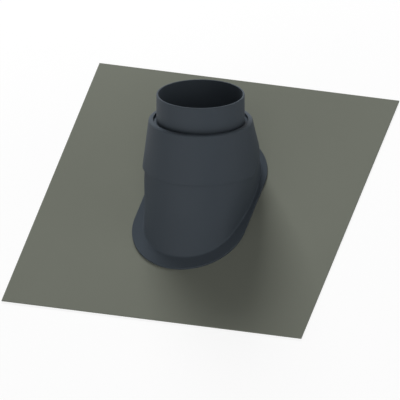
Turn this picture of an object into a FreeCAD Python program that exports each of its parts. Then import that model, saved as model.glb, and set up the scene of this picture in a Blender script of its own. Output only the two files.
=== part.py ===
"""Pipe flashing boot for a pitched roof, as a parametric document.

A square flexible flashing sheet carries a moulded boot in two pieces: a base shoe, whose
rounded flange is bonded to the sheet, and a hood with the pipe collar, seated on the
shoe's neck.

Frame: the sheet lies in the XY plane with its underside at Z = 0, +Y points up the roof
slope and the origin is where the collar's axis passes through the underside. On a roof of
the stated pitch that axis is plumb, so in this frame it leans towards +Y by the pitch.
"""

import FreeCAD, Part
import math
import os
import Sketcher

# Every driving size, in millimetres and degrees: alias, value, meaning.
SIZES = [
    ("roof_pitch", 30, "angle between the collar's axis and the sheet's normal"),
    ("sheet_width", 500, "flashing sheet across the slope"),
    ("sheet_length", 500, "flashing sheet along the slope"),
    ("sheet_thick", 2, "flashing sheet"),
    ("sheet_lap", 4, "the sheet's opening is this much wider all round than the flange's"),
    ("flange_width", 183, "flange with fully rounded ends, across the slope"),
    ("flange_length", 285, "flange along the slope"),
    ("flange_shift", 2, "the flange's middle is this far down the slope from the origin"),
    ("flange_thick", 3, "flange"),
    ("flange_bevel", 0.8, "bevel of the flange's upper edge"),
    ("flange_lip", 8, "ledge of the flange beside the shoe's wall, on each side"),
    ("foot_toe", 121, "the shoe's wall meets the flange this far down the slope"),
    ("foot_heel", 133, "and this far up the slope, both from the origin"),
    ("foot_widest", 15, "the outline where they meet is widest this far up the slope"),
    ("foot_side_radius", 300, "radius of that outline's two long side arcs"),
    ("inner_lip", 5, "the flange reaches this far inside the shoe's wall"),
    ("strip_width", 7, "sealing strip between sheet and flange"),
    ("strip_thick", 1.2, "sealing strip"),
    ("strip_play", 0.3, "gap on each side of the strip in its recess"),
    ("shell_wall", 3, "wall of both mouldings"),
    ("oval_overhang", 0.5, "the hood's oval reaches this far past the flange's sides"),
    ("oval_length", 218, "hood at the oval level, along the slope"),
    ("oval_rise", 48, "height of the oval level above the flange, square to the roof"),
    ("skirt_gap", 1, "play between skirt and neck at the oval level"),
    ("seat_gap", 0.4, "play between skirt and neck at the seat"),
    ("seat_thick", 2.5, "inward ring on top of the neck, which carries the hood"),
    ("seat_bore", 142, "clear diameter through that ring"),
    ("skirt_level", 56.5, "lower edge of the skirt, measured along the collar's axis"),
    ("shoulder_width", 162, "hood's diameter at the crest of its shoulder"),
    ("shoulder_level", 137, "crest of the shoulder, along the axis"),
    ("shoulder_round", 6, "rounding of the shoulder"),
    ("channel_width", 5, "rain channel between shoulder and collar"),
    ("channel_depth", 5, "depth of that channel below the crest"),
    ("channel_bevel", 1, "bevel of the channel's upper edge"),
    ("collar_width", 138, "outer diameter of the pipe collar"),
    ("collar_wall", 3, "wall of the collar"),
    ("collar_level", 178, "top of the collar, along the axis"),
    ("rim_bevel", 0.8, "bevel on both edges of the collar's rim"),
]

# Sizes that follow from the ones above: alias, formula, meaning.
DERIVED_SIZES = [
    ("foot_width", "=flange_width - 2 * flange_lip",
     "four-arc outline where the shoe's wall meets the flange"),
    ("oval_width", "=flange_width + 2 * oval_overhang",
     "hood at the oval level, across the slope"),
]

CUT_MARGIN = 20

doc = FreeCAD.newDocument("PipeFlashingBoot")
sheet = doc.addObject("Spreadsheet::Sheet", "Sizes")
for row, (alias, value, note) in enumerate(SIZES + DERIVED_SIZES, start=1):
    sheet.set(f"A{row}", alias)
    sheet.set(f"B{row}", str(value))
    sheet.set(f"C{row}", note)
    sheet.setAlias(f"B{row}", alias)
doc.recompute()


def size(alias):
    """Read one size from the spreadsheet, as a plain number."""
    return float(getattr(sheet, alias))


def add(kind, name, bindings=None, **properties):
    """Add an object, set its plain properties and bind the others to expressions."""
    item = doc.addObject(kind, name)
    for key, value in properties.items():
        setattr(item, key, value)
    for key, expression in (bindings or {}).items():
        item.setExpression(key, expression)
    return item


def placed(y="0", z="0", yaw="0", pitch="0", roll="0"):
    """Expression for a placement in the symmetry plane, with its turns in degrees."""
    return (f"create(<<placement>>; create(<<vector>>; 0; {y}; {z}); "
            f"create(<<rotation>>; {yaw}; {pitch}; {roll}))")


# The oval level: a plane parallel to the roof, its height square to the roof and the
# distance from the origin to it along the collar's axis.
OVAL_HEIGHT = "(Sizes.sheet_thick + Sizes.flange_thick + Sizes.oval_rise)"
OVAL_ALONG_AXIS = f"{OVAL_HEIGHT} / cos(Sizes.roof_pitch * 1 deg)"
OVAL_OFFSET = f"{OVAL_HEIGHT} * tan(Sizes.roof_pitch * 1 deg)"
SEAT_LEVEL = "(Sizes.shoulder_level - Sizes.channel_depth - Sizes.shell_wall)"


def leaning(level, yaw="0"):
    """Placement in the roof's frame of something centred on the collar's axis."""
    angle = "Sizes.roof_pitch * 1 deg"
    if yaw == "0":
        return placed(f"{level} * sin({angle})", f"{level} * cos({angle})",
                      roll="-Sizes.roof_pitch")
    return placed(f"{level} * sin({angle})", f"{level} * cos({angle})",
                  yaw, pitch="Sizes.roof_pitch")


def edges_on_axis(shape, level, radius):
    """Numbers of the round edges at this level whose size is this radius."""
    found = []
    for number, edge in enumerate(shape.Edges, start=1):
        box = edge.BoundBox
        flat = abs(box.ZMin - level) < 0.01 and abs(box.ZMax - level) < 0.01
        if flat and abs(box.YMax - radius) < 0.05 and abs(box.YMin + radius) < 0.05:
            found.append(number)
    return found


def eased(kind, name, base, level, radius, amount):
    """Fillet or chamfer the round edge of a shape about the Z axis at one level."""
    doc.recompute()
    edge_work = doc.addObject(kind, name)
    edge_work.Base = base
    edge_work.Edges = [(number, amount, amount)
                       for number in edges_on_axis(base.Shape, level, radius)]
    return edge_work


def end_arc(reach):
    """Centre distance and radius of the end arc that is tangent to both side arcs.

    The side arcs' centres lie on the widest line; the end arc's centre lies on the
    middle line and the arc passes through the outline's end, reach away from the
    widest line, so the distance between the centres is the difference of the radii.
    """
    side = size("foot_side_radius")
    offset = side - size("foot_width") / 2
    radius = (side ** 2 - offset ** 2 - reach ** 2) / (2 * (side - reach))
    return reach - radius, radius


def foot_outline(name, inset, height):
    """The foot's outline moved inwards by inset: arcs that start at the heel's end."""
    side = size("foot_side_radius")
    offset = side - size("foot_width") / 2
    widest = size("foot_widest")
    heel_centre, heel_radius = end_arc(size("foot_heel") - widest)
    toe_centre, toe_radius = end_arc(size("foot_toe") + widest)
    heel_turn = math.atan2(heel_centre, offset)
    toe_turn = math.atan2(-toe_centre, offset)
    quarter = math.pi / 2
    arcs = (
        (0, widest + heel_centre, heel_radius, quarter, 2 * quarter - heel_turn),
        (offset, widest, side, 2 * quarter - heel_turn, 2 * quarter - toe_turn),
        (0, widest - toe_centre, toe_radius, 2 * quarter - toe_turn, 3 * quarter),
        (0, widest - toe_centre, toe_radius, -quarter, toe_turn),
        (-offset, widest, side, toe_turn, heel_turn),
        (0, widest + heel_centre, heel_radius, heel_turn, quarter))
    edges = []
    for centre_x, centre_y, radius, start, end in arcs:
        points = [FreeCAD.Vector(centre_x + (radius - inset) * math.cos(angle),
                                 centre_y + (radius - inset) * math.sin(angle), height)
                  for angle in (start, (start + end) / 2, end)]
        edges.append(Part.Arc(*points).toShape())
    outline = doc.addObject("Part::Feature", name)
    outline.Shape = Part.Wire(edges)
    return outline


def foot_prism(name, inset, bottom, top):
    """Upright prism whose outline is the foot's, moved inwards by inset."""
    outline = foot_outline(name + "_outline", inset, bottom)
    prism = doc.addObject("Part::Extrusion", name)
    prism.Base = outline
    prism.Dir = FreeCAD.Vector(0, 0, 1)
    prism.LengthFwd = top - bottom
    prism.Solid = True
    return prism


def cut(name, base, tool):
    return add("Part::Cut", name, Base=base, Tool=tool)


def make_flashing_sheet():
    """A flat square sheet with an oval opening under the boot."""
    blank = add("Part::Box", "sheet_blank", {
        "Length": "Sizes.sheet_width",
        "Width": "Sizes.sheet_length",
        "Height": "Sizes.sheet_thick",
        "Placement.Base.x": "-Sizes.sheet_width / 2",
        "Placement.Base.y": "-Sizes.sheet_length / 2"})
    inset = size("shell_wall") + size("inner_lip") - size("sheet_lap")
    opening = foot_prism("sheet_opening", inset, -CUT_MARGIN,
                         size("sheet_thick") + CUT_MARGIN)
    return cut("flashing_sheet", blank, opening)


def strip_insets():
    """How far inside the foot's outline the strip's outer and inner edges run."""
    middle = size("shell_wall") / 2 - (size("inner_lip") - size("sheet_lap"))
    return middle - size("strip_width") / 2, middle + size("strip_width") / 2


def make_sealing_strip():
    """A closed loop of sealing strip, bedded between sheet and flange."""
    outer, inner = strip_insets()
    bottom = size("sheet_thick")
    top = bottom + size("strip_thick")
    return cut("sealing_strip", foot_prism("strip_outer", outer, bottom, top),
               foot_prism("strip_inner", inner, bottom, top))


def flange_sketch():
    """Slot outline with fully rounded ends, in the XY plane and centred on the origin."""
    sketch = doc.addObject("Sketcher::SketchObject", "flange_outline")
    radius = size("flange_width") / 2
    straight = size("flange_length") / 2 - radius
    up, out = FreeCAD.Vector(0, 0, 1), FreeCAD.Vector
    top_arc = sketch.addGeometry(Part.ArcOfCircle(
        Part.Circle(out(0, straight, 0), up, radius), 0, math.pi))
    left = sketch.addGeometry(Part.LineSegment(
        out(-radius, straight, 0), out(-radius, -straight, 0)))
    low_arc = sketch.addGeometry(Part.ArcOfCircle(
        Part.Circle(out(0, -straight, 0), up, radius), math.pi, 2 * math.pi))
    right = sketch.addGeometry(Part.LineSegment(
        out(radius, -straight, 0), out(radius, straight, 0)))
    start, end, centre = 1, 2, 3
    for first, first_point, second, second_point in (
            (top_arc, end, left, start), (left, end, low_arc, start),
            (low_arc, end, right, start), (right, end, top_arc, start)):
        sketch.addConstraint(Sketcher.Constraint(
            "Tangent", first, first_point, second, second_point))
    sketch.addConstraint(Sketcher.Constraint("PointOnObject", top_arc, centre, -2))
    sketch.addConstraint(Sketcher.Constraint("Vertical", left))
    sketch.addConstraint(Sketcher.Constraint(
        "Symmetric", top_arc, centre, low_arc, centre, -1, start))
    half_width = sketch.addConstraint(Sketcher.Constraint("Radius", top_arc, radius))
    spacing = sketch.addConstraint(Sketcher.Constraint(
        "DistanceY", low_arc, centre, top_arc, centre, 2 * straight))
    sketch.setExpression(f"Constraints[{half_width}]", "Sizes.flange_width / 2")
    sketch.setExpression(f"Constraints[{spacing}]", "Sizes.flange_length - Sizes.flange_width")
    sketch.setExpression("Placement.Base.y", "-Sizes.flange_shift")
    sketch.setExpression("Placement.Base.z", "Sizes.sheet_thick")
    return sketch


def shoe_shell(name, inset, top_level):
    """Lofted form of the shoe: four-arc foot, ellipse at the oval level, round neck."""
    foot = foot_outline(name + "_foot", inset, size("sheet_thick") + size("flange_thick"))
    skirt_room = f"Sizes.shell_wall - Sizes.skirt_gap - {inset}"
    oval = add("Part::Ellipse", name + "_oval", {
        "MajorRadius": f"Sizes.oval_length / 2 - {skirt_room}",
        "MinorRadius": f"Sizes.oval_width / 2 - {skirt_room}",
        "Placement": placed(OVAL_OFFSET, OVAL_HEIGHT, yaw="90")})
    neck = add("Part::Circle", name + "_neck", {
        "Radius": f"Sizes.shoulder_width / 2 - Sizes.shell_wall - Sizes.seat_gap - {inset}",
        "Placement": leaning(top_level, yaw="90")})
    return add("Part::Loft", name, Sections=[foot, oval, neck], Solid=True, Ruled=True)


def make_base_shoe():
    """Flange, flared toe and hollow neck, moulded in one piece."""
    slab = add("Part::Extrusion", "flange_slab", {"LengthFwd": "Sizes.flange_thick"},
               Base=flange_sketch(), Dir=FreeCAD.Vector(0, 0, 1), Solid=True)
    doc.recompute()
    flange_top = size("sheet_thick") + size("flange_thick")
    flange = doc.addObject("Part::Chamfer", "flange_blank")
    flange.Base = slab
    flange.Edges = [(number, size("flange_bevel"), size("flange_bevel"))
                    for number, edge in enumerate(slab.Shape.Edges, start=1)
                    if edge.BoundBox.ZMin > flange_top - 0.01]
    outer = shoe_shell("shoe_outer", 0, SEAT_LEVEL)
    blank = add("Part::MultiFuse", "shoe_blank", Shapes=[flange, outer])
    inner = shoe_shell("shoe_inner", size("shell_wall"),
                       f"({SEAT_LEVEL} - Sizes.seat_thick)")
    bore = add("Part::Cylinder", "shoe_bore", {
        "Radius": "Sizes.seat_bore / 2",
        "Height": "Sizes.seat_thick * 4",
        "Placement": leaning(f"({SEAT_LEVEL} - Sizes.seat_thick * 2)")})
    flange_bottom = size("sheet_thick")
    opening = foot_prism("flange_opening", size("shell_wall") + size("inner_lip"),
                         flange_bottom - CUT_MARGIN, flange_top)
    outer_edge, inner_edge = strip_insets()
    recess_top = flange_bottom + size("strip_thick")
    recess = cut("strip_recess",
                 foot_prism("recess_outer", outer_edge - size("strip_play"),
                            flange_bottom, recess_top),
                 foot_prism("recess_inner", inner_edge + size("strip_play"),
                            flange_bottom, recess_top))
    hollows = add("Part::MultiFuse", "shoe_hollows", Shapes=[inner, opening, bore, recess])
    return cut("base_shoe", blank, hollows)


def hood_shell(name, inset):
    """Lofted form of the hood about its own axis: oval below, circle at the crest."""
    oval = add("Part::Ellipse", name + "_oval", {
        "MajorRadius": f"Sizes.oval_length / 2 - {inset}",
        "MinorRadius": f"Sizes.oval_width / 2 - {inset}",
        "Placement": placed(z=OVAL_ALONG_AXIS, yaw="90", pitch="-Sizes.roof_pitch")})
    crest = add("Part::Circle", name + "_crest", {
        "Radius": f"Sizes.shoulder_width / 2 - {inset}",
        "Placement": placed(z=f"Sizes.shoulder_level - {inset}", yaw="90")})
    return add("Part::Loft", name, Sections=[oval, crest], Solid=True, Ruled=True)


def upright(name, radius, bottom, top):
    """Cylinder about the hood's own axis, from expressions."""
    return add("Part::Cylinder", name, {
        "Radius": radius,
        "Height": f"{top} - ({bottom})",
        "Placement.Base.z": bottom})


def make_hood():
    """Collar, rain channel, rounded shoulder and skirt, moulded in one piece."""
    shell_wall = size("shell_wall")
    crest_radius = size("shoulder_width") / 2
    outer = eased("Part::Fillet", "hood_shoulder", hood_shell("hood_outer", 0),
                  size("shoulder_level"), crest_radius, size("shoulder_round"))
    collar_radius = "Sizes.collar_width / 2"
    channel_floor = "(Sizes.shoulder_level - Sizes.channel_depth)"
    channel_radius = f"({collar_radius} + Sizes.channel_width)"
    channel = cut("hood_channel",
                  upright("channel_outer", channel_radius, channel_floor,
                          f"Sizes.shoulder_level + {CUT_MARGIN}"),
                  upright("channel_inner", collar_radius, channel_floor,
                          f"Sizes.shoulder_level + {CUT_MARGIN}"))
    shoulder = cut("hood_channelled", outer, channel)
    bevelled = eased("Part::Chamfer", "hood_bevelled", shoulder, size("shoulder_level"),
                     size("collar_width") / 2 + size("channel_width"),
                     size("channel_bevel"))
    collar = upright("hood_collar", collar_radius, channel_floor, "Sizes.collar_level")
    blank = add("Part::MultiFuse", "hood_blank", Shapes=[bevelled, collar])
    hollow = eased("Part::Chamfer", "hood_hollow", hood_shell("hood_inner", shell_wall),
                   size("shoulder_level") - shell_wall, crest_radius - shell_wall,
                   size("shoulder_round") / 2)
    under_channel = upright("hood_under_channel", f"{channel_radius} + Sizes.shell_wall",
                            SEAT_LEVEL, f"Sizes.shoulder_level + {CUT_MARGIN}")
    cavity = cut("hood_cavity", hollow, under_channel)
    bore = upright("hood_bore", f"{collar_radius} - Sizes.collar_wall",
                   f"{SEAT_LEVEL} - {CUT_MARGIN}", f"Sizes.collar_level + {CUT_MARGIN}")
    below = add("Part::Box", "hood_below", {
        "Length": "Sizes.oval_length * 2",
        "Width": "Sizes.oval_length * 2",
        "Height": "Sizes.oval_length * 2",
        "Placement.Base.x": "-Sizes.oval_length",
        "Placement.Base.y": "-Sizes.oval_length",
        "Placement.Base.z": "Sizes.skirt_level - Sizes.oval_length * 2"})
    hollows = add("Part::MultiFuse", "hood_hollows", Shapes=[cavity, bore, below])
    blunt = cut("hood_blunt", blank, hollows)
    rim_outer = eased("Part::Chamfer", "hood_rim_outer", blunt, size("collar_level"),
                      size("collar_width") / 2, size("rim_bevel"))
    hood = eased("Part::Chamfer", "hood", rim_outer, size("collar_level"),
                 size("collar_width") / 2 - size("collar_wall"), size("rim_bevel"))
    hood.setExpression("Placement", placed(roll="-Sizes.roof_pitch"))
    return hood


def check(parts):
    """Stop unless every object is up to date and every sub-part is one valid solid."""
    failed = [item.Name for item in doc.Objects
              if "Invalid" in item.State or "Error" in item.State]
    if failed:
        raise RuntimeError("failed objects: " + ", ".join(failed))
    for part in parts:
        shape = part.Shape
        if shape.isNull() or not shape.isValid() or len(shape.Solids) != 1:
            raise RuntimeError("bad shape: " + part.Name)


def main():
    parts = [make_flashing_sheet(), make_sealing_strip(), make_base_shoe(), make_hood()]
    doc.recompute()
    check(parts)
    os.makedirs("parts", exist_ok=True)
    for part in parts:
        part.Label = part.Name
        part.Shape.exportStep(f"parts/{part.Label}.step")
        box = part.Shape.BoundBox
        print(f"{part.Label}: {part.Shape.Volume / 1000:.1f} cm3,"
              f" x {box.XMin:.1f}..{box.XMax:.1f}, y {box.YMin:.1f}..{box.YMax:.1f},"
              f" z {box.ZMin:.1f}..{box.ZMax:.1f}, {len(part.Shape.Faces)} faces")


main()
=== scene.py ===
"""Pipe flashing boot: finely rounded mouldings, their finishes and a plain studio.

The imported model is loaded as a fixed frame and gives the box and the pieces' names. The
surfaces of the mouldings are worked out here as rounded paths carried round the boot.
"""

import math

import bpy
import numpy as np
from mathutils import Matrix, Vector


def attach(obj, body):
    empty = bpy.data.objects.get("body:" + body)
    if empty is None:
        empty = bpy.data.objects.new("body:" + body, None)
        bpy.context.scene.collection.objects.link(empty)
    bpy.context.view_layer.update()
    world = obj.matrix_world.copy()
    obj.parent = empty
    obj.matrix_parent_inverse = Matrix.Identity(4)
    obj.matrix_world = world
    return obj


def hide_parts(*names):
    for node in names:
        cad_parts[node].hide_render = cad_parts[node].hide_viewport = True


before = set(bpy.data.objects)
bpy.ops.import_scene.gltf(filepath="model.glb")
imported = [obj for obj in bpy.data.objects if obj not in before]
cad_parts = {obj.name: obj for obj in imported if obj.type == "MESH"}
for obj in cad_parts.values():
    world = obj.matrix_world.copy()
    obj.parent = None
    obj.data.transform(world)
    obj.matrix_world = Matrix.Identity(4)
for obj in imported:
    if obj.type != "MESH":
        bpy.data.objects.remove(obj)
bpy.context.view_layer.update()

bl_info = {
    "name": "Pipe Flashing Boot",
    "version": (1, 0, 0),
    "blender": (4, 5, 0),
    "location": "3D View > Sidebar > Flashing Boot",
    "description": "Builds a pipe flashing boot for a pitched roof, with its finishes",
    "category": "Add Mesh",
}

MM = 0.001


# ---------------------------------------------------------------- settings

def length(name, description, millimetres):
    """A length in metres, typed here in millimetres."""
    return bpy.props.FloatProperty(name=name, description=description,
                                   default=millimetres * MM, min=0.0,
                                   subtype="DISTANCE", unit="LENGTH", precision=5)


def colour(name, description, red, green, blue):
    """A linear colour."""
    return bpy.props.FloatVectorProperty(name=name, description=description,
                                         default=(red, green, blue), size=3,
                                         min=0.0, max=1.0, subtype="COLOR")


class BootSizes(bpy.types.PropertyGroup):
    """Sizes of the boot, which follow the frame's solids."""
    roof_pitch: bpy.props.FloatProperty(
        name="Roof Pitch", description="Angle between the collar and the sheet's normal",
        default=math.radians(30), subtype="ANGLE", unit="ROTATION")
    sheet_width: length("Sheet Width", "Flashing sheet across the slope", 500)
    sheet_length: length("Sheet Length", "Flashing sheet along the slope", 500)
    sheet_thick: length("Sheet Thickness", "Thickness of the flexible sheet", 2)
    sheet_lap: length("Sheet Lap", "The sheet's opening is this much wider all round", 4)
    flange_width: length("Flange Width", "Flange across the slope", 183)
    flange_length: length("Flange Length", "Flange along the slope", 285)
    flange_shift: length("Flange Shift", "The flange's middle lies this far down the slope", 2)
    flange_thick: length("Flange Thickness", "Thickness of the flange", 3)
    foot_width: length("Foot Width", "The wall's outline on the flange", 167)
    foot_toe: length("Foot Toe", "Reach of that outline down the slope", 121)
    foot_heel: length("Foot Heel", "Reach of that outline up the slope", 133)
    foot_widest: length("Foot Widest", "The outline is widest this far up the slope", 15)
    foot_side_radius: length("Foot Side Radius", "Radius of the outline's long sides", 300)
    inner_lip: length("Inner Lip", "The flange's reach inside the shoe's wall", 5)
    strip_width: length("Strip Width", "Width of the sealing strip", 7)
    strip_thick: length("Strip Thickness", "Thickness of the strip and of its recess", 1.2)
    strip_play: length("Strip Play", "Gap on each side of the strip in its recess", 0.3)
    shell_wall: length("Shell Wall", "Wall of both mouldings", 3)
    oval_width: length("Oval Width", "Hood at the oval level, across the slope", 184)
    oval_length: length("Oval Length", "Hood at the oval level, along the slope", 218)
    oval_rise: length("Oval Rise", "Height of the oval level above the flange", 48)
    skirt_gap: length("Skirt Gap", "Play between skirt and neck at the oval level", 1)
    seat_gap: length("Seat Gap", "Play between skirt and neck at the seat", 0.4)
    seat_thick: length("Seat Thickness", "Ring on top of the neck", 2.5)
    seat_bore: length("Seat Bore", "Clear diameter through that ring", 142)
    skirt_level: length("Skirt Level", "Lower edge of the skirt along the axis", 56.5)
    shoulder_width: length("Shoulder Width", "Hood's diameter at its crest", 162)
    shoulder_level: length("Shoulder Level", "Crest of the shoulder along the axis", 137)
    channel_width: length("Channel Width", "Rain channel round the collar", 5)
    channel_depth: length("Channel Depth", "Depth of that channel", 5)
    collar_width: length("Collar Width", "Outer diameter of the pipe collar", 138)
    collar_wall: length("Collar Wall", "Wall of the collar", 3)
    collar_level: length("Collar Level", "Top of the collar along the axis", 178)


class BootEdges(bpy.types.PropertyGroup):
    """Eases of the edges that show: how far from a corner its rounding starts."""
    sheet_top: length("Sheet Top", "Upper edge of the sheet", 0.35)
    flange: length("Flange", "Upper edge of the flange", 0.9)
    foot: length("Foot", "Hollow where the shoe's wall meets the flange", 2.2)
    neck: length("Neck", "Bend of the shoe's wall at the oval level", 14)
    skirt: length("Skirt", "Lower edge of the hood", 0.5)
    shoulder: length("Shoulder", "Shoulder of the hood", 6)
    channel_lip: length("Channel Lip", "Edge between the shoulder and the channel", 1)
    channel_root: length("Channel Root", "Both corners at the channel's bottom", 1.2)
    rim_outside: length("Rim Outside", "Outer edge of the collar's rim", 1.2)
    rim_inside: length("Rim Inside", "Inner edge of the collar's rim", 1)


class BootFinish(bpy.types.PropertyGroup):
    """Colours and surfaces of the boot."""
    plastic: colour("Boot Plastic", "Dark slate polypropylene", 0.042, 0.052, 0.063)
    plastic_roughness: bpy.props.FloatProperty(
        name="Plastic Roughness", description="Satin of the moulded skin",
        default=0.58, min=0.0, max=1.0, subtype="FACTOR")
    rubber: colour("Sheet Rubber", "Grey-green flexible sheet", 0.156, 0.165, 0.138)
    rubber_roughness: bpy.props.FloatProperty(
        name="Rubber Roughness", description="Dull calendered rubber",
        default=0.82, min=0.0, max=1.0, subtype="FACTOR")
    butyl: colour("Sealing Strip", "Black butyl strip", 0.020, 0.020, 0.020)


class BootStudio(bpy.types.PropertyGroup):
    """Camera and floor."""
    view_azimuth: bpy.props.FloatProperty(
        name="View Azimuth", description="Turn of the camera from straight down the slope",
        default=math.radians(20.7048), subtype="ANGLE", unit="ROTATION")
    view_elevation: bpy.props.FloatProperty(
        name="View Elevation", description="Rise of the camera above the horizon",
        default=math.radians(19.4712), subtype="ANGLE", unit="ROTATION")
    view_width: length("View Width", "Width of the picture at the object", 624.2)
    view_left: length("View Left", "The middle of the picture is this far left", 0.478)
    view_rise: length("View Rise", "The middle of the picture is this far up", 0.785)
    floor_gap: length("Floor Gap", "Clearance between the floor and the sheet", 0.2)
    floor_colour: colour("Floor", "Plain pale floor", 0.90, 0.90, 0.90)
    floor_white: bpy.props.FloatProperty(
        name="Floor White", description="Share of plain white in the floor where it is seen",
        default=0.85, min=0.0, max=1.0, subtype="FACTOR")


# ---------------------------------------------------------------- shapes

def boot():
    """The sizes in use."""
    return bpy.context.scene.flashing_boot_sizes


def edges():
    """The eases in use."""
    return bpy.context.scene.flashing_boot_edges


def finish():
    """The colours in use."""
    return bpy.context.scene.flashing_boot_finish


# Points round the boot, and the least length and cosine that anything is divided by.
STATIONS = 600
TINY = 1e-9
# An ease is at most this share of a run. A run's support points lie this far from its
# ends, or at this share of it if that is less.
MOST_EASE = 0.48
SUPPORT = 0.25 * MM
MOST_SUPPORT = 0.2


def turns():
    """Angles of the stations round the boot, from straight up the roof towards -X."""
    return np.arange(STATIONS) * (2 * math.pi / STATIONS)


def on_axis(level):
    """The point of the collar's axis at a level along it, measured from the origin."""
    pitch = boot().roof_pitch
    return np.array([0.0, level * math.sin(pitch), level * math.cos(pitch)])


def axis_circle(level, radius):
    """Circle square to the axis: centre + radius * (-sin t * X + cos t * uphill).

    Uphill is the roof's +Y turned square to the axis.
    """
    pitch = boot().roof_pitch
    uphill = np.array([0.0, math.cos(pitch), -math.sin(pitch)])
    t = turns()[:, None]
    return on_axis(level) + radius * (np.cos(t) * uphill - np.sin(t) * [1.0, 0.0, 0.0])


def oval(half_width, half_length):
    """Ellipse parallel to the roof at the oval level, centred where the axis crosses it."""
    s = boot()
    height = s.sheet_thick + s.flange_thick + s.oval_rise
    centre = np.array([0.0, height * math.tan(s.roof_pitch), height])
    t = turns()[:, None]
    return centre + np.concatenate([-half_width * np.sin(t), half_length * np.cos(t),
                                    np.zeros_like(t)], axis=1)


def end_arc(reach):
    """Centre distance and radius of the end arc that is tangent to both side arcs.

    With side radius S, side centres at offset d and the end at reach e from the widest
    line, the radius r solves (e - r)^2 + d^2 = (S - r)^2.
    """
    s = boot()
    offset = s.foot_side_radius - s.foot_width / 2
    radius = ((s.foot_side_radius ** 2 - offset ** 2 - reach ** 2)
              / (2 * (s.foot_side_radius - reach)))
    return reach - radius, radius


def foot_outline(inset, height):
    """Four-centre oval moved inwards by inset, at equal steps of the outline's length.

    Each arc is centre + (radius - inset) * (cos a, sin a), where a is the direction of
    the outward normal; the station's share of the length picks the arc and a.
    """
    s = boot()
    offset = s.foot_side_radius - s.foot_width / 2
    heel_centre, heel_radius = end_arc(s.foot_heel - s.foot_widest)
    toe_centre, toe_radius = end_arc(s.foot_toe + s.foot_widest)
    heel_turn = math.atan2(heel_centre, offset)
    toe_turn = math.atan2(toe_centre, offset)
    half = math.pi / 2
    stops = np.array([half, 2 * half - heel_turn, 2 * half + toe_turn,
                      4 * half - toe_turn, 4 * half + heel_turn, 5 * half])
    centre_x = np.array([0.0, offset, 0.0, -offset, 0.0])
    centre_y = s.foot_widest + np.array([heel_centre, 0.0, -toe_centre, 0.0, heel_centre])
    radius = np.array([heel_radius, s.foot_side_radius, toe_radius,
                       s.foot_side_radius, heel_radius])
    run = np.concatenate([[0.0], np.cumsum(radius * np.diff(stops))])
    share = turns() / (2 * math.pi) * run[-1]
    normal = np.interp(share, run, stops)
    arc = np.clip(np.searchsorted(run, share, side="right") - 1, 0, 4)
    reach = radius[arc] - inset
    return np.stack([centre_x[arc] + reach * np.cos(normal),
                     centre_y[arc] + reach * np.sin(normal),
                     np.full(STATIONS, height)], axis=1)


def flange_outline(height):
    """Slot with fully rounded ends, met by rays from its middle through the foot's outline.

    A ray at angle a meets a straight side at R / |cos a| where that is within the
    straight part h, and otherwise an end arc at h |sin a| + sqrt(R^2 - (h cos a)^2).
    """
    s = boot()
    radius = s.flange_width / 2
    straight = s.flange_length / 2 - radius
    foot = foot_outline(0.0, height)
    angle = np.arctan2(foot[:, 1] + s.flange_shift, foot[:, 0])
    side = radius / np.maximum(np.abs(np.cos(angle)), TINY)
    end = (straight * np.abs(np.sin(angle))
           + np.sqrt(np.maximum(radius ** 2 - (straight * np.cos(angle)) ** 2, 0.0)))
    reach = np.where(np.abs(side * np.sin(angle)) <= straight, side, end)
    return np.stack([reach * np.cos(angle), reach * np.sin(angle) - s.flange_shift,
                     np.full(STATIONS, height)], axis=1)


def sheet_outline(height):
    """The sheet's square edge, met by rays from its middle through the foot's outline."""
    s = boot()
    foot = foot_outline(0.0, height)
    angle = np.arctan2(foot[:, 1], foot[:, 0])
    half_width, half_length = s.sheet_width / 2, s.sheet_length / 2
    reach = np.minimum(half_width / np.maximum(np.abs(np.cos(angle)), TINY),
                       half_length / np.maximum(np.abs(np.sin(angle)), TINY))
    edge = np.stack([reach * np.cos(angle), reach * np.sin(angle),
                     np.full(STATIONS, height)], axis=1)
    for corner_x in (-half_width, half_width):
        for corner_y in (-half_length, half_length):
            near = np.argmin(np.hypot(edge[:, 0] - corner_x, edge[:, 1] - corner_y))
            edge[near, :2] = corner_x, corner_y
    return edge


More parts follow.
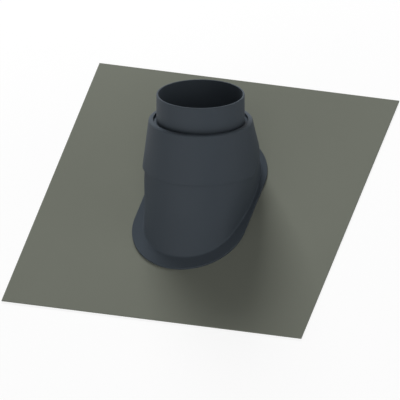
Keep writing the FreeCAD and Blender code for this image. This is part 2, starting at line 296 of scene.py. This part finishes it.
def rounded_path(corners):
    """Closed path through corner outlines, each rounded by a circular arc.

    A corner is a (stations, 3) outline, the ease, which is how far from it the arc
    starts, the arc's segments and the rows added on the run that follows. No ease takes
    more than MOST_EASE of the shorter run beside it.
    An arc is the rational quadratic curve with end points P - e*u and P + e*v, middle
    point P and weight sin of half the angle between the runs, which is a true circle.
    Each run also gets a point close to both of its ends, which keeps its shading flat.
    """
    outlines, eases, steps, rows = zip(*corners)
    points = np.stack(outlines)
    after = np.roll(points, -1, axis=0) - points
    span = np.linalg.norm(after, axis=2, keepdims=True)
    forward = after / np.maximum(span, TINY)
    backward = -np.roll(forward, 1, axis=0)
    ease = np.asarray(eases)[:, None, None] * np.ones_like(span)
    shortest = np.minimum(span, np.roll(span, 1, axis=0))
    ease = np.minimum(ease, MOST_EASE * shortest)
    cosine = np.sum(forward * backward, axis=2, keepdims=True)
    weight = np.sqrt(np.maximum((1 - cosine) / 2, 1e-12))
    grid = []
    count = len(corners)
    for k in range(count):
        start = points[k] + ease[k] * backward[k]
        end = points[k] + ease[k] * forward[k]
        if steps[k]:
            u = np.linspace(0.0, 1.0, steps[k] + 1)[:, None, None]
            top = ((1 - u) ** 2 * start + 2 * u * (1 - u) * weight[k] * points[k]
                   + u ** 2 * end)
            grid.append(top / ((1 - u) ** 2 + 2 * u * (1 - u) * weight[k] + u ** 2))
        else:
            grid.append(points[k][None])
            end = points[k]
        following = (k + 1) % count
        run_end = points[following] + ease[following] * backward[following]
        if not steps[following]:
            run_end = points[following]
        run = run_end - end
        run_length = np.maximum(np.linalg.norm(run, axis=1, keepdims=True), TINY)
        near = np.minimum(SUPPORT / run_length, MOST_SUPPORT)
        shares = [near] + [np.full_like(near, share)
                           for share in np.linspace(0, 1, rows[k] + 2)[1:-1]] + [1 - near]
        grid.append(np.stack([end + share * run for share in shares]))
    return np.concatenate(grid)


def closed_surface(name, grid, material, node):
    """Mesh of a grid that is closed both ways, its faces turned outwards.

    Face (i, j) joins rows i and i + 1 and stations j and j + 1, counted round; the
    signed volume, the sum of v0 . (v1 x v2) / 6 over triangles, tells which way is out.
    """
    rows, columns = grid.shape[:2]
    index = np.arange(rows * columns).reshape(rows, columns)
    right = np.roll(index, -1, axis=1)
    quads = np.stack([index, right, np.roll(right, -1, axis=0),
                      np.roll(index, -1, axis=0)], axis=2).reshape(-1, 4)
    points = grid.reshape(-1, 3)
    a, b, c, d = (points[quads[:, k]] for k in range(4))
    volume = np.sum(a * np.cross(b, c) + a * np.cross(c, d)) / 6
    if volume < 0:
        quads = quads[:, ::-1]
    mesh = bpy.data.meshes.new(name)
    mesh.vertices.add(len(points))
    mesh.vertices.foreach_set("co", points.astype(np.float32).ravel())
    mesh.loops.add(quads.size)
    mesh.loops.foreach_set("vertex_index", quads.astype(np.int32).ravel())
    mesh.polygons.add(len(quads))
    mesh.polygons.foreach_set("loop_start", np.arange(0, quads.size, 4, dtype=np.int32))
    mesh.polygons.foreach_set("use_smooth", np.ones(len(quads), dtype=bool))
    mesh.update(calc_edges=True)
    if mesh.validate():
        raise RuntimeError(f"{name}: the surface has faulty faces")
    mesh.materials.append(material)
    piece = bpy.data.objects.new(name, mesh)
    bpy.context.scene.collection.objects.link(piece)
    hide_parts(node)
    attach(piece, "root")
    return piece


# ---------------------------------------------------------------- finishes

def new_group(name, inputs, outputs):
    """An empty shader node group with its sockets, given as (name, default) pairs."""
    group = bpy.data.node_groups.new(name, "ShaderNodeTree")
    for label, default in inputs:
        kind = "NodeSocketVector" if default is None else "NodeSocketFloat"
        socket = group.interface.new_socket(label, in_out="INPUT", socket_type=kind)
        if default is not None:
            socket.default_value = default
    for label in outputs:
        group.interface.new_socket(label, in_out="OUTPUT", socket_type="NodeSocketFloat")
    return group, group.nodes.new("NodeGroupInput"), group.nodes.new("NodeGroupOutput")


def noise(group, source, scale, detail):
    """A noise texture on the group's coordinates, at the scale of one of its inputs."""
    node = group.nodes.new("ShaderNodeTexNoise")
    node.inputs["Detail"].default_value = detail
    group.links.new(source.outputs["Position"], node.inputs["Vector"])
    group.links.new(source.outputs[scale], node.inputs["Scale"])
    return node.outputs["Fac"]


def spread(group, value, amount, middle):
    """middle + (value - 0.5) * 2 * amount, where amount is one of the group's inputs."""
    centred = group.nodes.new("ShaderNodeMapRange")
    centred.clamp = False
    group.links.new(value, centred.inputs["Value"])
    low = group.nodes.new("ShaderNodeMath")
    low.operation = "SUBTRACT"
    low.inputs[0].default_value = middle
    group.links.new(amount, low.inputs[1])
    high = group.nodes.new("ShaderNodeMath")
    high.operation = "ADD"
    high.inputs[0].default_value = middle
    group.links.new(amount, high.inputs[1])
    group.links.new(low.outputs[0], centred.inputs["To Min"])
    group.links.new(high.outputs[0], centred.inputs["To Max"])
    return centred.outputs["Result"]


def surface_grain():
    """Group: fine grain height, a roughness change and a faint change of shade.

    Height is noise at the grain's scale; Shade and Roughness are 1 plus or minus their
    amounts, from broad noise.
    """
    name = "Surface Grain"
    if name in bpy.data.node_groups:
        return bpy.data.node_groups[name]
    group, source, sink = new_group(
        name,
        [("Position", None), ("Grain Scale", 1500.0), ("Cloud Scale", 12.0),
         ("Shade Amount", 0.04), ("Roughness Amount", 0.08)],
        ["Height", "Shade", "Roughness"])
    grain = noise(group, source, "Grain Scale", 2.0)
    cloud = noise(group, source, "Cloud Scale", 3.0)
    group.links.new(grain, sink.inputs["Height"])
    group.links.new(spread(group, cloud, source.outputs["Shade Amount"], 1.0),
                    sink.inputs["Shade"])
    group.links.new(spread(group, grain, source.outputs["Roughness Amount"], 1.0),
                    sink.inputs["Roughness"])
    return group


def grained(name, base, roughness, gloss, grain_scale, cloud_scale, shade_amount,
            roughness_amount, bump_strength, bump_distance):
    """Material: a base colour with the grain group's shade, roughness and height."""
    if name in bpy.data.materials:
        return bpy.data.materials[name]
    material = bpy.data.materials.new(name)
    material.use_nodes = True
    nodes, links = material.node_tree.nodes, material.node_tree.links
    shader = nodes["Principled BSDF"]
    shader.inputs["Specular IOR Level"].default_value = gloss
    place = nodes.new("ShaderNodeTexCoord")
    grain = nodes.new("ShaderNodeGroup")
    grain.node_tree = surface_grain()
    grain.inputs["Grain Scale"].default_value = grain_scale
    grain.inputs["Cloud Scale"].default_value = cloud_scale
    grain.inputs["Shade Amount"].default_value = shade_amount
    grain.inputs["Roughness Amount"].default_value = roughness_amount
    links.new(place.outputs["Object"], grain.inputs["Position"])
    tint = nodes.new("ShaderNodeVectorMath")
    tint.operation = "SCALE"
    tint.inputs[0].default_value = tuple(base)
    links.new(grain.outputs["Shade"], tint.inputs["Scale"])
    links.new(tint.outputs["Vector"], shader.inputs["Base Color"])
    rough = nodes.new("ShaderNodeMath")
    rough.operation = "MULTIPLY"
    rough.use_clamp = True
    rough.inputs[1].default_value = roughness
    links.new(grain.outputs["Roughness"], rough.inputs[0])
    links.new(rough.outputs[0], shader.inputs["Roughness"])
    bump = nodes.new("ShaderNodeBump")
    bump.inputs["Strength"].default_value = bump_strength
    bump.inputs["Distance"].default_value = bump_distance
    links.new(grain.outputs["Height"], bump.inputs["Height"])
    links.new(bump.outputs["Normal"], shader.inputs["Normal"])
    return material


def moulded_plastic():
    """Dark slate plastic with a fine spark-eroded skin."""
    f = finish()
    return grained("moulded_plastic", f.plastic, f.plastic_roughness, gloss=0.12,
                   grain_scale=1400.0, cloud_scale=14.0, shade_amount=0.05,
                   roughness_amount=0.10, bump_strength=0.22, bump_distance=0.12 * MM)


def sheet_rubber():
    """Grey-green rubber with a dull, finely pebbled skin."""
    f = finish()
    return grained("sheet_rubber", f.rubber, f.rubber_roughness, gloss=0.10,
                   grain_scale=900.0, cloud_scale=7.0, shade_amount=0.035,
                   roughness_amount=0.08, bump_strength=0.30, bump_distance=0.18 * MM)


def butyl_strip():
    """Black tacky butyl, smoother than the sheet."""
    return grained("butyl_strip", finish().butyl, 0.45, gloss=0.4,
                   grain_scale=500.0, cloud_scale=60.0, shade_amount=0.10,
                   roughness_amount=0.15, bump_strength=0.25, bump_distance=0.3 * MM)


# ---------------------------------------------------------------- pieces

def hood_ruling(half_width, half_length, crest, radius):
    """Ruled wall of the hood from its lower edge to the crest: (bottom, top) points.

    The ruling joins the oval to the circle at the same turn. It starts where it is at
    least skirt_level along the axis, so the edge is level in front and follows the
    roof behind.
    """
    s = boot()
    low = oval(half_width, half_length)
    top = axis_circle(crest, radius)
    axis = np.array([0.0, math.sin(s.roof_pitch), math.cos(s.roof_pitch)])
    low_level, top_level = low @ axis, top @ axis
    share = np.clip((s.skirt_level - low_level) / (top_level - low_level), 0.0, 1.0)
    return low + share[:, None] * (top - low), top


def recess_insets():
    """How far inside the foot's outline the strip's recess starts and ends.

    Its middle lies under the middle of the wall, moved outwards by as much as the sheet
    reaches inside the wall.
    """
    s = boot()
    middle = s.shell_wall / 2 - (s.inner_lip - s.sheet_lap)
    half = s.strip_width / 2 + s.strip_play
    return middle - half, middle + half


class FLASHINGBOOT_OT_hood(bpy.types.Operator):
    """Hood: skirt, rounded shoulder, rain channel and pipe collar as one moulding"""
    bl_idname = "flashing_boot.hood"
    bl_label = "Hood"

    def execute(self, context):
        s, edge = boot(), edges()
        wall = s.shell_wall
        half_width, half_length = s.oval_width / 2, s.oval_length / 2
        shoulder, crest = s.shoulder_width / 2, s.shoulder_level
        collar = s.collar_width / 2
        channel = collar + s.channel_width
        floor = crest - s.channel_depth
        seat = floor - wall
        skirt, top = hood_ruling(half_width, half_length, crest, shoulder)
        inner_skirt, inner_top = hood_ruling(half_width - wall, half_length - wall,
                                             crest - wall, shoulder - wall)
        bore = collar - s.collar_wall
        # The inner wall stops this share of its height below the crest, past the seat.
        left_out = 0.04
        inner_wall_end = inner_top - (inner_top - inner_skirt) * left_out
        corners = [
            # outline, ease, arc segments, rows on the run that follows
            (skirt, edge.skirt, 4, 10),
            (top, edge.shoulder, 14, 1),
            (axis_circle(crest, channel), edge.channel_lip, 5, 1),
            (axis_circle(floor, channel), edge.channel_root, 5, 0),
            (axis_circle(floor, collar), edge.channel_root, 5, 6),
            (axis_circle(s.collar_level, collar), edge.rim_outside, 6, 0),
            (axis_circle(s.collar_level, bore), edge.rim_inside, 6, 6),
            (axis_circle(seat, bore), 0.5 * MM, 4, 1),
            (axis_circle(seat, channel + wall), 0.3 * MM, 3, 0),
            (axis_circle(seat + wall, channel + wall), 0.3 * MM, 3, 0),
            (inner_wall_end, 0.3 * MM, 3, 10),
            (inner_skirt, 0.4 * MM, 4, 0),
        ]
        piece = closed_surface("hood_moulding", rounded_path(corners), moulded_plastic(), "hood")
        return {"FINISHED"}


class FLASHINGBOOT_OT_shoe(bpy.types.Operator):
    """Base shoe: flange, flared toe, hollow neck and its seat ring as one moulding"""
    bl_idname = "flashing_boot.shoe"
    bl_label = "Base Shoe"

    def execute(self, context):
        s, edge = boot(), edges()
        wall, gap = s.shell_wall, s.skirt_gap
        bottom = s.sheet_thick
        top = bottom + s.flange_thick
        seat = s.shoulder_level - s.channel_depth - wall
        neck = s.shoulder_width / 2 - wall - s.seat_gap
        half_width, half_length = s.oval_width / 2 - wall - gap, s.oval_length / 2 - wall - gap
        under = seat - s.seat_thick
        bore = s.seat_bore / 2
        recess_outside, recess_inside = recess_insets()
        recess_top = bottom + s.strip_thick
        lip = wall + s.inner_lip
        corners = [
            # outline, ease, arc segments, rows on the run that follows
            (flange_outline(bottom), 0.3 * MM, 3, 0),
            (flange_outline(top), edge.flange, 5, 2),
            (foot_outline(0.0, top), edge.foot, 8, 6),
            (oval(half_width, half_length), edge.neck, 10, 8),
            (axis_circle(seat, neck), 0.6 * MM, 4, 0),
            (axis_circle(seat, bore), 0.4 * MM, 3, 0),
            (axis_circle(under, bore), 0.4 * MM, 3, 0),
            (axis_circle(under, neck - wall), 1.0 * MM, 4, 8),
            (oval(half_width - wall, half_length - wall), edge.neck, 10, 6),
            (foot_outline(wall, top), 1.5 * MM, 5, 0),
            (foot_outline(lip, top), 0.5 * MM, 3, 0),
            (foot_outline(lip, bottom), 0.4 * MM, 3, 0),
            (foot_outline(recess_inside, bottom), 0.2 * MM, 2, 0),
            (foot_outline(recess_inside, recess_top), 0.2 * MM, 2, 0),
            (foot_outline(recess_outside, recess_top), 0.2 * MM, 2, 0),
            (foot_outline(recess_outside, bottom), 0.2 * MM, 2, 1),
        ]
        piece = closed_surface("shoe_moulding", rounded_path(corners), moulded_plastic(),
                               "base_shoe")
        return {"FINISHED"}


class FLASHINGBOOT_OT_sheet(bpy.types.Operator):
    """Flexible flashing sheet with its oval opening and softly cut edges"""
    bl_idname = "flashing_boot.sheet"
    bl_label = "Flashing Sheet"

    def execute(self, context):
        s = boot()
        top = s.sheet_thick
        inset = s.shell_wall + s.inner_lip - s.sheet_lap
        corners = [
            # outline, ease, arc segments, rows on the run that follows
            (sheet_outline(0.0), 0.25 * MM, 2, 0),
            (sheet_outline(top), edges().sheet_top, 3, 10),
            (foot_outline(inset, top), 0.3 * MM, 3, 0),
            (foot_outline(inset, 0.0), 0.3 * MM, 3, 6),
        ]
        piece = closed_surface("sheet_cut", rounded_path(corners), sheet_rubber(),
                               "flashing_sheet")
        return {"FINISHED"}


class FLASHINGBOOT_OT_strip(bpy.types.Operator):
    """Sealing strip, which keeps the frame's own solid and gets its butyl finish"""
    bl_idname = "flashing_boot.strip"
    bl_label = "Sealing Strip"

    def execute(self, context):
        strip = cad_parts["sealing_strip"]
        strip.data.materials.clear()
        strip.data.materials.append(butyl_strip())
        return {"FINISHED"}


class FLASHINGBOOT_OT_stage(bpy.types.Operator):
    """Pale floor, white surroundings, soft lamps and the camera"""
    bl_idname = "flashing_boot.stage"
    bl_label = "Stage"

    def execute(self, context):
        make_floor()
        make_world()
        make_lamps()
        make_camera()
        context.scene.view_settings.view_transform = "Standard"
        return {"FINISHED"}


# ---------------------------------------------------------------- stage

LAMPS = [
    # name, azimuth and elevation in degrees, distance and size in metres, watts, glint
    ("key_lamp", -156.0, 26.0, 3.2, 1.16, 150.0, False),
    ("top_fill_lamp", 30.0, 52.0, 2.2, 1.3, 9.0, True),
    ("left_fill_lamp", -28.0, 14.0, 2.2, 1.5, 14.0, True),
    ("front_fill_lamp", 6.0, 14.0, 2.2, 1.5, 9.5, True),
    ("right_fill_lamp", 84.0, 14.0, 2.2, 1.5, 14.0, True),
]
# Places and distances in metres, and the strength of the world's light.
LAMP_AIM = (0.0, 0.03, 0.06)
FLOOR_REACH = 12.0
CAMERA_DISTANCE = 2.0
WORLD_LEVEL = 0.04


def seen_directly(nodes, links):
    """Socket that is 1 for rays of the camera, of gloss and through glass."""
    path = nodes.new("ShaderNodeLightPath")
    total = path.outputs["Is Camera Ray"]
    for label in ("Is Glossy Ray", "Is Transmission Ray"):
        joined = nodes.new("ShaderNodeMath")
        joined.operation = "MAXIMUM"
        links.new(total, joined.inputs[0])
        links.new(path.outputs[label], joined.inputs[1])
        total = joined.outputs[0]
    return total


def make_floor():
    """A wide pale floor just under the sheet, which keeps the object's shadow."""
    studio = bpy.context.scene.flashing_boot_studio
    reach, height = FLOOR_REACH, -studio.floor_gap
    mesh = bpy.data.meshes.new("floor")
    mesh.from_pydata([(-reach, -reach, height), (reach, -reach, height),
                      (reach, reach, height), (-reach, reach, height)], [], [(0, 1, 2, 3)])
    floor = bpy.data.objects.new("floor", mesh)
    bpy.context.scene.collection.objects.link(floor)
    material = bpy.data.materials.new("pale_floor")
    material.use_nodes = True
    nodes, links = material.node_tree.nodes, material.node_tree.links
    shader = nodes["Principled BSDF"]
    shader.inputs["Base Color"].default_value = (*studio.floor_colour, 1.0)
    shader.inputs["Roughness"].default_value = 0.9
    shader.inputs["Specular IOR Level"].default_value = 0.0
    white = nodes.new("ShaderNodeEmission")
    blend = nodes.new("ShaderNodeMixShader")
    share = nodes.new("ShaderNodeMath")
    share.operation = "MULTIPLY"
    share.inputs[1].default_value = studio.floor_white
    links.new(seen_directly(nodes, links), share.inputs[0])
    links.new(share.outputs[0], blend.inputs["Fac"])
    links.new(shader.outputs["BSDF"], blend.inputs[1])
    links.new(white.outputs["Emission"], blend.inputs[2])
    links.new(blend.outputs["Shader"], nodes["Material Output"].inputs["Surface"])
    mesh.materials.append(material)


def make_world():
    """White where it is seen, and an even soft light elsewhere."""
    world = bpy.data.worlds.new("studio")
    bpy.context.scene.world = world
    world.use_nodes = True
    nodes, links = world.node_tree.nodes, world.node_tree.links
    light = nodes["Background"]
    light.inputs["Color"].default_value = (1.0, 1.0, 1.0, 1.0)
    light.inputs["Strength"].default_value = WORLD_LEVEL
    seen = nodes.new("ShaderNodeBackground")
    seen.inputs["Color"].default_value = (1.0, 1.0, 1.0, 1.0)
    blend = nodes.new("ShaderNodeMixShader")
    links.new(seen_directly(nodes, links), blend.inputs["Fac"])
    links.new(light.outputs["Background"], blend.inputs[1])
    links.new(seen.outputs["Background"], blend.inputs[2])
    links.new(blend.outputs["Shader"], nodes["World Output"].inputs["Surface"])


def make_lamps():
    """Square soft lamps, aimed at the middle of the boot.

    Azimuth 0 is down the slope and 90 is +X. The key lamp stands behind the boot and
    gives no glint, which would wash out the flange.
    """
    target = Vector(LAMP_AIM)
    for name, azimuth, elevation, distance, size, power, glint in LAMPS:
        a, e = math.radians(azimuth), math.radians(elevation)
        back = Vector((math.sin(a) * math.cos(e), -math.cos(a) * math.cos(e), math.sin(e)))
        lamp = bpy.data.lights.new(name, "AREA")
        lamp.shape = "SQUARE"
        lamp.size = size
        lamp.energy = power
        holder = bpy.data.objects.new(name, lamp)
        holder.location = target + back * distance
        holder.rotation_mode = "QUATERNION"
        holder.rotation_quaternion = (-back).to_track_quat("-Z", "Y")
        holder.visible_glossy = glint
        bpy.context.scene.collection.objects.link(holder)


def make_camera():
    """Parallel view from above the lower right, turned so that the collar stands upright.

    With azimuth a and elevation e, and the level direction up the roof and the plumb
    direction as axes, right = cos a * X + sin a * level, and
    up = sin e * (cos a * level - sin a * X) + cos e * plumb.
    """
    studio = bpy.context.scene.flashing_boot_studio
    pitch, a, e = boot().roof_pitch, studio.view_azimuth, studio.view_elevation
    across = Vector((1.0, 0.0, 0.0))
    level = Vector((0.0, math.cos(pitch), -math.sin(pitch)))
    plumb = Vector((0.0, math.sin(pitch), math.cos(pitch)))
    right = across * math.cos(a) + level * math.sin(a)
    up = (level * math.cos(a) - across * math.sin(a)) * math.sin(e) + plumb * math.cos(e)
    back = right.cross(up)
    middle = Vector((0.0, 0.0, boot().sheet_thick))
    target = middle - right * studio.view_left + up * studio.view_rise
    data = bpy.data.cameras.new("camera")
    data.type = "ORTHO"
    data.ortho_scale = studio.view_width
    camera = bpy.data.objects.new("camera", data)
    rotation = Matrix((right, up, back)).transposed()
    camera.rotation_mode = "QUATERNION"
    camera.rotation_quaternion = rotation.to_quaternion()
    camera.location = target + back * CAMERA_DISTANCE
    bpy.context.scene.collection.objects.link(camera)
    bpy.context.scene.camera = camera


# ---------------------------------------------------------------- panel and registration

class FLASHINGBOOT_PT_panel(bpy.types.Panel):
    """Lists the boot's pieces and the stage"""
    bl_idname = "FLASHINGBOOT_PT_panel"
    bl_label = "Flashing Boot"
    bl_space_type = "VIEW_3D"
    bl_region_type = "UI"
    bl_category = "Flashing Boot"

    def draw(self, context):
        for operator in OPERATORS:
            self.layout.operator(operator.bl_idname)


OPERATORS = [FLASHINGBOOT_OT_sheet, FLASHINGBOOT_OT_strip, FLASHINGBOOT_OT_shoe,
             FLASHINGBOOT_OT_hood, FLASHINGBOOT_OT_stage]
CLASSES = [BootSizes, BootEdges, BootFinish, BootStudio, *OPERATORS, FLASHINGBOOT_PT_panel]


def register():
    for cls in CLASSES:
        bpy.utils.register_class(cls)
    scene = bpy.types.Scene
    scene.flashing_boot_sizes = bpy.props.PointerProperty(type=BootSizes)
    scene.flashing_boot_edges = bpy.props.PointerProperty(type=BootEdges)
    scene.flashing_boot_finish = bpy.props.PointerProperty(type=BootFinish)
    scene.flashing_boot_studio = bpy.props.PointerProperty(type=BootStudio)


def unregister():
    scene = bpy.types.Scene
    del scene.flashing_boot_studio
    del scene.flashing_boot_finish
    del scene.flashing_boot_edges
    del scene.flashing_boot_sizes
    for cls in reversed(CLASSES):
        bpy.utils.unregister_class(cls)


def main():
    """Build every piece and the stage."""
    register()
    bpy.ops.flashing_boot.sheet()
    bpy.ops.flashing_boot.strip()
    bpy.ops.flashing_boot.shoe()
    bpy.ops.flashing_boot.hood()
    bpy.ops.flashing_boot.stage()


if __name__ == "__main__":
    main()
